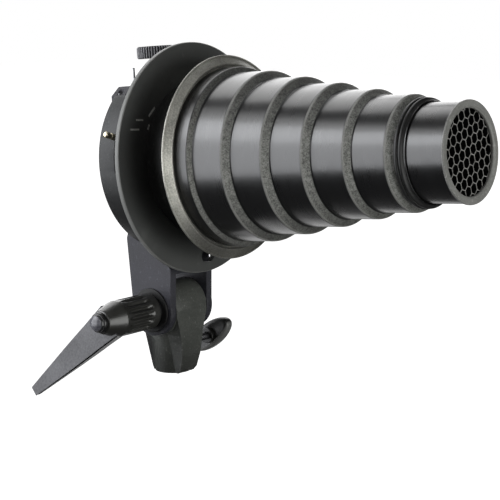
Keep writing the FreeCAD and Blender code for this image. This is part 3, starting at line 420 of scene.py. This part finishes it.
nodeFinish = dict(
    receiver_body="mouldedDark", friction_washer_left="rubber", friction_washer_right="rubber",
    socket_insert="brass", pressure_pad="brass", wing_screw="blackSteel", wing_grip="glossBlack",
    yoke="mouldedGrey", yoke_screws="blackSteel", front_disc="powderCoat", bayonet_ring="enamelBlack",
    ring_screws="blackSteel", index_marks="markPaint", drum="mouldedCharcoal", drum_screws="blackSteel",
    slide_keeper="steel", lower_jaw="blackSteel", lower_pad="rubber", clamp_bridge="mouldedGrey",
    bridge_screws="blackSteel", bridge_insert="brass", ear_ring="ringDark", thrust_washer="blackSteel",
    tilt_nut="steel", upper_jaw="blackSteel", upper_pad="rubber", guide_pins="steel", jaw_swivel="steel",
    clamp_screw="steel", clamp_knob="knobRibs", release_slide="mouldedGrey", release_pin="brass",
    tilt_bolt="steel", lever_bush="steel", lever_screw="steel", lever_spring="steel",
    lever_handle="glossBlack", lever_cap="capGrey", snoot_neck="enamelBlack", snoot_flange="wornRim",
    neck_rivets="steel", snoot_shell="spunEnamel", front_collar="enamelBlack", front_tube="spunEnamel",
    grid_ring="wornRim", honeycomb="foil",
)
for nodeName, finishName in nodeFinish.items():
    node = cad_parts[nodeName]
    node.data.materials.clear()
    node.data.materials.append(finishes[finishName])


def meshed(name, points, faces, finish, replaced=(), rider=None, slot=None, sharp=35.0, slots=None, which=None):
    # points in metres; doubles are merged, faces turned outwards, edges past `sharp` degrees kept crisp
    mesh = bpy.data.meshes.new(name)
    mesh.from_pydata(points.reshape(-1, 3).tolist(), [], faces.tolist())
    for key in [finish] + list(slots or []):
        mesh.materials.append(finishes[key])
    if which is not None:
        mesh.polygons.foreach_set("material_index", which)
    body = bmesh.new()
    body.from_mesh(mesh)
    bmesh.ops.remove_doubles(body, verts=body.verts, dist=2e-6)
    bmesh.ops.dissolve_degenerate(body, edges=body.edges, dist=1e-6)
    bmesh.ops.recalc_face_normals(body, faces=body.faces)
    body.to_mesh(mesh)
    body.free()
    mesh.polygons.foreach_set("use_smooth", np.ones(len(mesh.polygons), bool))
    mesh.set_sharp_from_angle(angle=math.radians(sharp))
    piece = bpy.data.objects.new(name, mesh)
    bpy.context.scene.collection.objects.link(piece)
    even = piece.modifiers.new("evenShading", "WEIGHTED_NORMAL")
    even.keep_sharp = True
    if rider:
        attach(piece, rider)
    if replaced:
        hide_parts(*replaced)
    return piece


def gridFaces(rows, columns, wrapRows=True):
    # quads between neighbouring rows and columns; columns join round, and rows where wrapped
    i, j = np.meshgrid(np.arange(rows - (not wrapRows)), np.arange(columns), indexing="ij")
    nextI, nextJ = (i + 1) % rows, (j + 1) % columns
    quads = np.stack([i * columns + j, i * columns + nextJ, nextI * columns + nextJ, nextI * columns + j], -1)
    return quads.reshape(-1, 4)


def eased(corners, steps=6):
    # corners are (x, y, ease), one outline or a stack of them: each corner is cut back by its ease
    # along both sides, and a parabola joins the cuts, (1-t)^2 start + 2t(1-t) corner + t^2 end
    corner, ease = corners[..., :2], corners[..., 2:]
    before, after = np.roll(corner, 1, -2) - corner, np.roll(corner, -1, -2) - corner
    lengthBefore = np.linalg.norm(before, axis=-1, keepdims=True)
    lengthAfter = np.linalg.norm(after, axis=-1, keepdims=True)
    ease = np.minimum(ease, 0.49 * np.minimum(lengthBefore, lengthAfter))
    start = (corner + before / lengthBefore * ease)[..., None, :]
    end = (corner + after / lengthAfter * ease)[..., None, :]
    t = np.linspace(0, 1, steps)[:, None]
    curve = (1 - t) ** 2 * start + 2 * t * (1 - t) * corner[..., None, :] + t ** 2 * end
    return curve.reshape(*corner.shape[:-2], -1, 2)


def turnedPoints(outline, place, around=144, shape=None):
    # the outline (radius, station) turned about the place's Z: (r cos a, r sin a, s)
    angle = np.linspace(0, 2 * math.pi, around, endpoint=False)[None, :]
    radius = outline[:, :1] + 0 * angle
    station = outline[:, 1:] + 0 * angle
    if shape:
        radius, station = shape(radius, station, angle + 0 * radius)
    spots = np.stack([radius * np.cos(angle), radius * np.sin(angle), station], -1)
    return placed(spots, place)


def turned(name, corners, place, finish, around=144, shape=None, steps=6, **joined):
    # a piece turned from an outline's corners (radius, station, ease); with no ease a corner stays sharp
    outline = eased(np.array([(*corner, 0.0)[:3] for corner in corners]), steps)
    points = turnedPoints(outline, place, around, shape)
    return meshed(name, points, gridFaces(len(outline), around), finish, **joined)


def softened(nodeName, width, segments=3, angle=32.0):
    # a CAD node keeps its shape; its doubles are welded and its crisp edges get a small round
    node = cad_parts[nodeName]
    weld = node.modifiers.new("weld", "WELD")
    weld.merge_threshold = 5e-6
    bevel = node.modifiers.new("edgeRound", "BEVEL")
    bevel.width = width * 0.001
    bevel.segments = segments
    bevel.limit_method = "ANGLE"
    bevel.angle_limit = math.radians(angle)
    bevel.harden_normals = True
    bevel.use_clamp_overlap = True


shell = dict(wall=1.2, flangeFront=32.8, sleeve=0.05, neckEnd=205.0, corner=1.1)


def snootShell():
    # outer outline from the flange to the neck, then back along the inside one wall in
    radii = stepSizes["radii"]
    neck = nose["tubeOuter"] + shell["sleeve"] + shell["wall"]
    stations = [stepSizes["first"] + i * stepSizes["pitch"] for i in range(stepSizes["count"])]
    outer = [(radii[0], shell["flangeFront"], 0.2), (radii[0], stepSizes["footEnd"], 0.9),
             (radii[1], stepSizes["footEnd"] + 1.5, 0.7)]
    for index, station in enumerate(stations):
        near = radii[index + 1]
        far = radii[index + 2] if index + 2 < len(radii) else neck
        outer.append((near, station, shell["corner"]))
        outer.append((far, station + stepSizes["slope"], shell["corner"]))
    outer.append((neck, shell["neckEnd"], 0.4))
    inner = [(radius - shell["wall"], station, ease) for radius, station, ease in outer][::-1]
    return turned("snootShell", outer + inner, snootPlace, "spunEnamel", around=180,
                  replaced=["snoot_shell"], rider="snoot", slot="snoot_paint")


snootShell()

flange = dict(inner=45.0, start=30.0, thick=2.8, outer=73.7, innerSlope=66.6, rise=2.0)


def snootFlange():
    # a rolled rim, a fine groove, and a face that rises to the shell as a cone
    start = flange["start"]
    front = start + flange["thick"]
    outer = flange["outer"]
    corners = [(flange["inner"], start, 0.2), (outer - 0.5, start, 0.4), (outer, start + 0.5, 0.4),
               (outer, start + 1.2, 0.5), (outer - 0.7, start + 1.7, 0.4), (outer - 1.3, start + 1.5, 0.2),
               (outer - 1.5, start + 1.0, 0.15), (outer - 1.8, start + 1.3, 0.2),
               (flange["innerSlope"] + 0.4, front + flange["rise"], 0.8), (flange["innerSlope"] - 1.2, front, 0.3),
               (flange["inner"], front, 0.2)]
    return turned("snootFlange", corners, snootPlace, "wornRim", around=200,
                  replaced=["snoot_flange"], rider="snoot", slot="snoot_paint")


snootFlange()
print("snoot shell and flange made")

softWidths = dict(yoke=1.6, receiver_body=1.2, drum=0.8, front_disc=0.5, release_slide=0.5, clamp_bridge=0.7,
                  upper_jaw=0.4, lower_jaw=0.4, upper_pad=0.5, lower_pad=0.5, bayonet_ring=0.4, tilt_nut=0.4,
                  ear_ring=0.5)
for nodeName, width in softWidths.items():
    softened(nodeName, width)
print("cast and moulded bodies softened:", len(softWidths))

def frontTube():
    # the plain tube in the nose
    inner = nose["tubeOuter"] - nose["tubeWall"]
    corners = [(inner, nose["tubeStart"], 0.2), (nose["tubeOuter"], nose["tubeStart"], 0.2),
               (nose["tubeOuter"], nose["tubeEnd"], 0.3), (inner, nose["tubeEnd"], 0.3)]
    return turned("frontTube", corners, snootPlace, "spunEnamel", replaced=["front_tube"], rider="snoot",
                  slot="snoot_paint")


def frontCollar():
    # two rolled beads with a groove between them and a soft run-out onto the tube
    foot = nose["tubeOuter"] + shell["sleeve"] + shell["wall"]
    start = nose["tubeStart"] + 0.2
    top = nose["collar"]
    corners = [(foot, start, 0.1), (top - 1.0, start, 0.8), (top, start + 0.9, 0.9), (top, start + 2.5, 0.8),
               (top - 1.3, start + 3.1, 0.3), (top - 1.3, start + 3.5, 0.2), (top - 0.4, start + 4.0, 0.6),
               (top - 0.4, start + 5.4, 0.7), (top - 1.7, start + 6.2, 0.4), (foot, start + 7.0, 0.2)]
    return turned("frontCollar", corners, snootPlace, "enamelBlack", replaced=["front_collar"], rider="snoot",
                  slot="collar_black")


def gridRing():
    # rounded lip outside the tube, sleeve inside it, and a seat that holds the comb
    sleeve = nose["tubeOuter"] - nose["tubeWall"] - nose["sleeveGap"]
    inner = sleeve - nose["sleeveWall"]
    end = nose["tubeEnd"]
    lip = nose["lipThick"]
    corners = [(inner, end - nose["sleeveLong"], 0.3), (sleeve, end - nose["sleeveLong"], 0.3),
               (sleeve, end + 0.1, 0.1), (nose["lip"], end + 0.1, 0.3), (nose["lip"], end + lip, 0.9),
               (nose["lipInner"] + 1.2, end + lip, 0.5), (nose["lipInner"], end + lip - 0.9, 0.4),
               (nose["lipInner"], end - 0.6, 0.2), (inner, end - 0.6, 0.1)]
    return turned("gridRing", corners, snootPlace, "lipEnamel", replaced=["grid_ring"], rider="grid",
                  slot="rim_grey")


frontTube()
frontCollar()
gridRing()
print("nose made")

lever = dict(base=27.6, radius=13.5, fluteStart=34.0, fluteEnd=58.0, flutes=16, fluteDeep=1.8, headRun=5.0,
             tailRun=3.0, end=78.0, tip=8.6, bore=8.3, cap=7.6, capRise=7.2)


def leverHub():
    # a turned hub; scallops are cut in a band round it, deepest at their middle and run out at both ends
    start, stop = lever["fluteStart"], lever["fluteEnd"]
    corners = [(lever["bore"], lever["base"], 0.2), (lever["radius"], lever["base"], 1.0)]
    corners += [(lever["radius"], station) for station in np.linspace(start - 4, stop + 5, 60)[1:-1]]
    corners += [(lever["radius"], stop + 5.2, 2.0), (lever["tip"] + 0.1, lever["end"] - 0.6, 0.5),
                (lever["tip"] - 0.9, lever["end"], 0.3), (6.7, lever["end"], 0.1), (6.7, lever["end"] - 6, 0.1),
                (lever["bore"], lever["end"] - 20, 0.1)]

    def scalloped(radius, station, angle):
        # radius less depth * trough * head * tail, where the trough is a cosine round the hub
        wave = np.cos(angle * lever["flutes"])
        trough = np.clip((wave + 0.55) / 1.55, 0.0, 1.0) ** 0.6
        head = np.clip((station - start) / lever["headRun"], 0.0, 1.0)
        tail = np.clip((stop - station) / lever["tailRun"] + wave, 0.0, 1.0)
        onSkin = radius > lever["tip"] + 0.6
        return radius - lever["fluteDeep"] * trough * head * tail * onSkin, station

    return turned("leverHub", corners, leverPlace, "glossBlack", around=192, shape=scalloped, steps=5,
                  replaced=["lever_handle"], rider="tilt_lever", slot="knob_black", sharp=50.0)


blade = dict(start=10.3, reach=105.0, face=70.0, direction=214.5, rootHalf=12.6, tipHalf=3.9, rootThick=14.0,
             tipThick=5.0, tipRound=1.2, lip=0.5, groove=3.6, grooveDeep=1.6)


def leverBlade():
    # a rounded section carried from the hub to the tip: half width, thickness and groove shrink along it
    along = np.concatenate([np.linspace(0.0, 0.96, 40), np.linspace(0.97, 1.0, 10)])
    wide = blade["rootHalf"] + (blade["tipHalf"] - blade["rootHalf"]) * along
    deep = blade["rootThick"] + (blade["tipThick"] - blade["rootThick"]) * along
    # the last stretch is pulled in as a quarter circle
    last = np.clip((blade["reach"] * (along - 1.0) + blade["tipRound"]) / blade["tipRound"], 0.0, 1.0)
    pull = 1.0 - (1.0 - np.sqrt(1.0 - last ** 2)) * 0.22
    wide, shrink = wide * pull, (1.0 - pull) * 2.0
    lip = np.minimum(blade["lip"], deep * 0.42)
    cut = blade["groove"] * np.minimum(1.0, deep / 9.0)
    notch = wide - blade["grooveDeep"]
    # section corners: across, depth below the outer face, ease
    ring = [(-wide, -deep + shrink, 0.8), (-wide, -shrink, 0.7), (wide, -shrink, 0.7),
            (wide, -lip, 0.12), (notch, -lip, 0.1), (notch, -lip - cut, 0.1),
            (wide - 0.15, -lip - cut, 0.12), (wide - 0.35, -deep + shrink, 0.8)]
    steps = 5
    corners = np.stack([np.stack([across, depth, ease + 0 * along], -1) for across, depth, ease in ring], 1)
    outline = eased(corners, steps)
    turn = math.radians(blade["direction"])
    across, depth = outline[..., 0], outline[..., 1]
    # the root is hollowed to the hub's bore: root distance = sqrt(start^2 - across^2)
    root = np.sqrt(np.clip(blade["start"] ** 2 - across ** 2, 0.0, None))
    out = root + (blade["reach"] - root) * along[:, None]
    points = np.stack([out * math.cos(turn) - across * math.sin(turn), out * math.sin(turn) + across * math.cos(turn),
                       blade["face"] + depth], -1)
    rows, columns = outline.shape[:2]
    # both ends are closed by quads folded across the section
    near = np.arange(columns // 2 - 1)
    folded = np.stack([near, near + 1, columns - 2 - near, columns - 1 - near], -1)
    faces = np.concatenate([gridFaces(rows, columns, wrapRows=False), folded, (rows - 1) * columns + folded])
    # by the ring's corners: 0 is the outer face, 1 the sides, painted paler as if lit, 2 the groove, painted dark as
    # shade
    facing = np.zeros(len(faces), np.int32)
    cornerOf = faces[:, 0] % columns / steps
    facing[(cornerOf < 1.5) | (cornerOf > 2.9)] = 1
    facing[(cornerOf > 3.5) & (cornerOf < 6.3)] = 2
    return meshed("leverBlade", placed(points, leverPlace), faces, "leverFace", rider="tilt_lever", slot="knob_grey",
                  replaced=["lever_handle"], slots=["leverSide", "enamelBlack"], which=facing)


def leverCap():
    # a dome in a raised bezel, over the screw that holds the lever
    end = lever["end"]
    cap = lever["cap"]
    corners = [(0.0, end - 1.5), (6.5, end - 1.5, 0.1), (6.5, end, 0.1), (cap, end + 0.1, 0.3), (cap, end + 2.6, 0.6),
               (cap - 0.7, end + 3.6, 0.4), (cap - 1.1, end + 3.6, 0.3), (cap - 1.6, end + 5.0, 1.2),
               (cap - 4.0, end + lever["capRise"] - 0.5, 2.0), (0.0, end + lever["capRise"])]
    return turned("leverCap", corners, leverPlace, "capGrey", around=96, replaced=["lever_cap"], rider="tilt_lever",
                  slot="knob_grey")


leverHub()
leverBlade()
leverCap()
print("lever made")


def clampKnob():
    # a ribbed rim with eased top and foot, and a shallow dish in its top
    foot, top, radius = knob["foot"], knob["foot"] + knob["tall"], knob["radius"]
    corners = [(knob["bore"], foot, 0.1), (radius - 0.9, foot, 0.3), (radius, foot + 0.8, 0.4),
               (radius, top - 1.0, 0.5), (radius - 1.1, top, 0.5), (radius - 3.2, top, 0.4),
               (radius - 4.0, top - 0.6, 0.4), (0.0, top - 0.6), (0.0, foot + 5.0), (knob["bore"], foot + 5.0, 0.1)]

    def ribbed(distance, station, angle):
        # radius less depth * flattened cosine, fading in at the rim
        wave = np.clip(np.cos(angle * knob["ribs"]) * 1.4, -1.0, 1.0) * 0.5 + 0.5
        return distance - knob["deep"] * wave * np.clip((distance - radius + 1.5) / 1.2, 0.0, 1.0), station

    return turned("clampKnob", corners, clampPlace, "knobRibs", around=320, shape=ribbed, replaced=["clamp_knob"],
                  rider="clamp_knob_body", slot="knob_grey", sharp=50.0)


clampKnob()


def wingLeaf():
    # an ellipse swept through its thickness; it is pinched at both faces and hollowed between hub and tips
    around = 160
    angle = np.linspace(0, 2 * math.pi, around, endpoint=False)[None, :]
    t = np.linspace(-1, 1, 25)[:, None]
    crown = np.sqrt(np.clip(1 - np.abs(t) ** 3.0, 0.0, 1.0))
    shrink = 1 - (1 - crown) * wing["round"] / wing["wide"]
    long = wing["long"] * (0.90 + 0.10 * crown) * np.cos(angle)
    wide = wing["wide"] * shrink * np.sin(angle)
    lean = math.radians(90 - wing["lean"])
    scoop = wing["scoop"] * np.clip(np.abs(long) / wing["long"] - 0.25, 0.0, 1.0)
    depth = wing["start"] + wing["thick"] / 2 + t * wing["thick"] / 2 + scoop * (t < 0) * -t
    x = long * math.cos(lean) - wide * math.sin(lean)
    y = long * math.sin(lean) + wide * math.cos(lean)
    rows = np.stack([x, y, depth + 0 * x], -1)
    # each face is closed by rings drawn in to its middle
    inward = np.linspace(1, 0, 10)[1:, None, None]
    caps = [row * inward + row.mean(0) * (1 - inward) for row in (rows[0], rows[-1])]
    points = np.concatenate([caps[0][::-1], rows, caps[1]])
    return meshed("wingLeaf", placed(points, wingPlace), gridFaces(len(points), around, wrapRows=False),
                  "wingBlack", replaced=["wing_grip"], rider="wing_knob", slot="knob_black", sharp=60.0)


def wingHub():
    # the round boss in the wing's middle, with a blind hole for the screw
    start, end = wing["start"] - 2.0, wing["start"] + wing["thick"] + 1.0
    corners = [(wing["bore"], start, 0.1), (wing["hub"], start, 0.6), (wing["hub"], end, 1.2), (0.0, end),
               (0.0, start + 5), (wing["bore"], start + 5, 0.1)]
    return turned("wingHub", corners, wingPlace, "wingBlack", around=64, replaced=["wing_grip"], rider="wing_knob",
                  slot="knob_black")


wingLeaf()
wingHub()
print("knob and wing made")

screws = dict(
    clamp=dict(place=clampPlace, radius=3.0, foot=[(0.0, 36.0), (4.5, 36.0, 0.3), (4.5, 38.3, 0.3)], start=38.3,
               threadStart=39.5, threadEnd=74.0, end=80.0, pitch=2.0, deep=0.42),
    wing=dict(place=wingPlace, radius=3.0, foot=[(0.0, 10.2), (2.4, 10.2, 0.1)], start=10.8,
              threadStart=11.5, threadEnd=36.5, end=44.0, pitch=1.25, deep=0.36),
)


def threadedRod(name, screw, finish, **joined):
    # a single-start helix: the radius falls in a V once per pitch, carried round with the angle
    radius = screw["radius"]
    stations = np.arange(screw["threadStart"], screw["threadEnd"] + 0.01, screw["pitch"] / 8)
    corners = screw["foot"] + [(radius, screw["start"], 0.1)] + [(radius, station) for station in stations]
    corners += [(radius, screw["end"], 0.1), (0.0, screw["end"])]

    def grooved(distance, station, angle):
        turn = (station / screw["pitch"] - angle / (2 * math.pi)) % 1.0
        cut = np.clip(1.35 - np.abs(turn - 0.5) * 3.2, 0.0, 1.0)
        run = np.minimum(station - screw["threadStart"], screw["threadEnd"] - station) / screw["pitch"]
        return distance - screw["deep"] * cut * np.clip(run, 0.0, 1.0) * (distance > radius - 0.01), station

    return turned(name, corners, screw["place"], finish, around=48, shape=grooved, steps=2, sharp=60.0, **joined)


threadedRod("clampScrew", screws["clamp"], "steel", replaced=["clamp_screw"], rider="clamp_knob_body", slot="steel")
threadedRod("wingScrew", screws["wing"], "blackSteel", replaced=["wing_screw"], rider="wing_knob",
            slot="blackened_steel")
print("threads made")

camera = dict(azimuth=-51.06, elevation=10.09, lens=114.84, sensor=36.0, spot=(-0.8858, -0.7914, 0.3035))


def lookFrom():
    # the camera looks along its azimuth and elevation
    lens = bpy.data.cameras.new("camera")
    lens.lens = camera["lens"]
    lens.sensor_width = camera["sensor"]
    lens.clip_start, lens.clip_end = 0.01, 50.0
    holder = bpy.data.objects.new("camera", lens)
    bpy.context.scene.collection.objects.link(holder)
    a, e = math.radians(camera["azimuth"]), math.radians(camera["elevation"])
    back = Vector((math.sin(a) * math.cos(e), -math.cos(a) * math.cos(e), math.sin(e)))
    holder.rotation_mode = "QUATERNION"
    holder.rotation_quaternion = (-back).to_track_quat("-Z", "Y")
    holder.location = camera["spot"]
    bpy.context.scene.camera = holder


lookFrom()

# each light: where it stands, what it looks at, width and height in metres, and its brightness
lights = dict(
    sideBox=dict(spot=(-0.98, 0.86, 0.10), at=(0.0, -0.10, 0.16), size=(1.40, 0.96), radiance=3.7,
                 tint=(0.955, 0.970, 1.0)),
    sideUpper=dict(spot=(-0.96, 0.84, 0.84), at=(0.0, -0.10, 0.16), size=(1.40, 0.50), radiance=6.4,
                   tint=(0.955, 0.970, 1.0)),
    sideGlow=dict(spot=(-0.80, 0.90, 1.25), at=(0.0, -0.10, 0.16), size=(1.20, 0.30), radiance=2.0),
    rearTop=dict(spot=(0.55, 1.05, 1.40), at=(0.0, -0.1, 0.15), size=(1.10, 0.80), radiance=2.6),
    topBox=dict(spot=(0.1, -0.3, 1.7), at=(0.0, -0.1, 0.1), size=(1.2, 1.2), radiance=1.0),
    noseBox=dict(spot=(0.08, -1.70, 0.02), at=(0.0, -0.05, 0.10), size=(1.4, 1.3), radiance=3.5,
                 tint=(0.99, 1.0, 0.98)),
    frontBox=dict(spot=(-1.30, -0.75, 0.60), at=(0.0, -0.05, 0.1), size=(0.7, 0.7), radiance=2.2),
    backBox=dict(spot=(1.75, 1.40, 0.75), at=(0.0, -0.1, 0.15), size=(3.2, 1.5), radiance=2.6),
    floorGlow=dict(spot=(0.90, 0.95, -0.70), at=(0.90, 0.951, 0.5), size=(1.5, 1.0), radiance=0.9),
)
ground = dict(level=-0.75, reach=12.0, seenGlow=1.15, worldGlow=0.03)


def studio():
    # area lights, a pale floor that glows for the camera only, and a faint world
    for name, light in lights.items():
        lamp = bpy.data.lights.new(name, "AREA")
        lamp.shape = "RECTANGLE"
        lamp.size, lamp.size_y = light["size"]
        lamp.color = light.get("tint", (1.0, 1.0, 1.0))
        lamp.energy = light["radiance"] * math.pi * light["size"][0] * light["size"][1]
        holder = bpy.data.objects.new(name, lamp)
        bpy.context.scene.collection.objects.link(holder)
        holder.location = light["spot"]
        aim = Vector(light["at"]) - Vector(light["spot"])
        holder.rotation_mode = "QUATERNION"
        holder.rotation_quaternion = aim.to_track_quat("-Z", "Y")
        holder.visible_camera = False
    floor = bpy.data.meshes.new("floor")
    reach, level = ground["reach"], ground["level"]
    floor.from_pydata([(-reach, -reach, level), (reach, -reach, level), (reach, reach, level),
                       (-reach, reach, level)], [], [(0, 1, 2, 3)])
    pale = Finish("paleFloor", roughness=0.8, emissionStrength=ground["seenGlow"])
    seen = pale.node("LightPath", {}).out("Is Camera Ray")
    pale.set(emissionColor=seen, baseColor=pale.mixed(seen, (0.03, 0.03, 0.03), (0.4, 0.4, 0.4)))
    floor.materials.append(pale.material)
    sheet = bpy.data.objects.new("floor", floor)
    bpy.context.scene.collection.objects.link(sheet)
    world = bpy.data.worlds.new("studio")
    bpy.context.scene.world = world
    world.use_nodes = True
    tree = world.node_tree
    ray = tree.nodes.new("ShaderNodeLightPath")
    strength = tree.nodes.new("ShaderNodeMix")
    strength.inputs[2].default_value = ground["worldGlow"]
    strength.inputs[3].default_value = 1.0
    tree.links.new(ray.outputs["Is Camera Ray"], strength.inputs[0])
    tree.links.new(strength.outputs[0], tree.nodes["Background"].inputs["Strength"])
    tree.nodes["Background"].inputs["Color"].default_value = (1.0, 1.0, 1.0, 1.0)


studio()
bpy.context.scene.view_settings.view_transform = "Standard"
print("stage set")
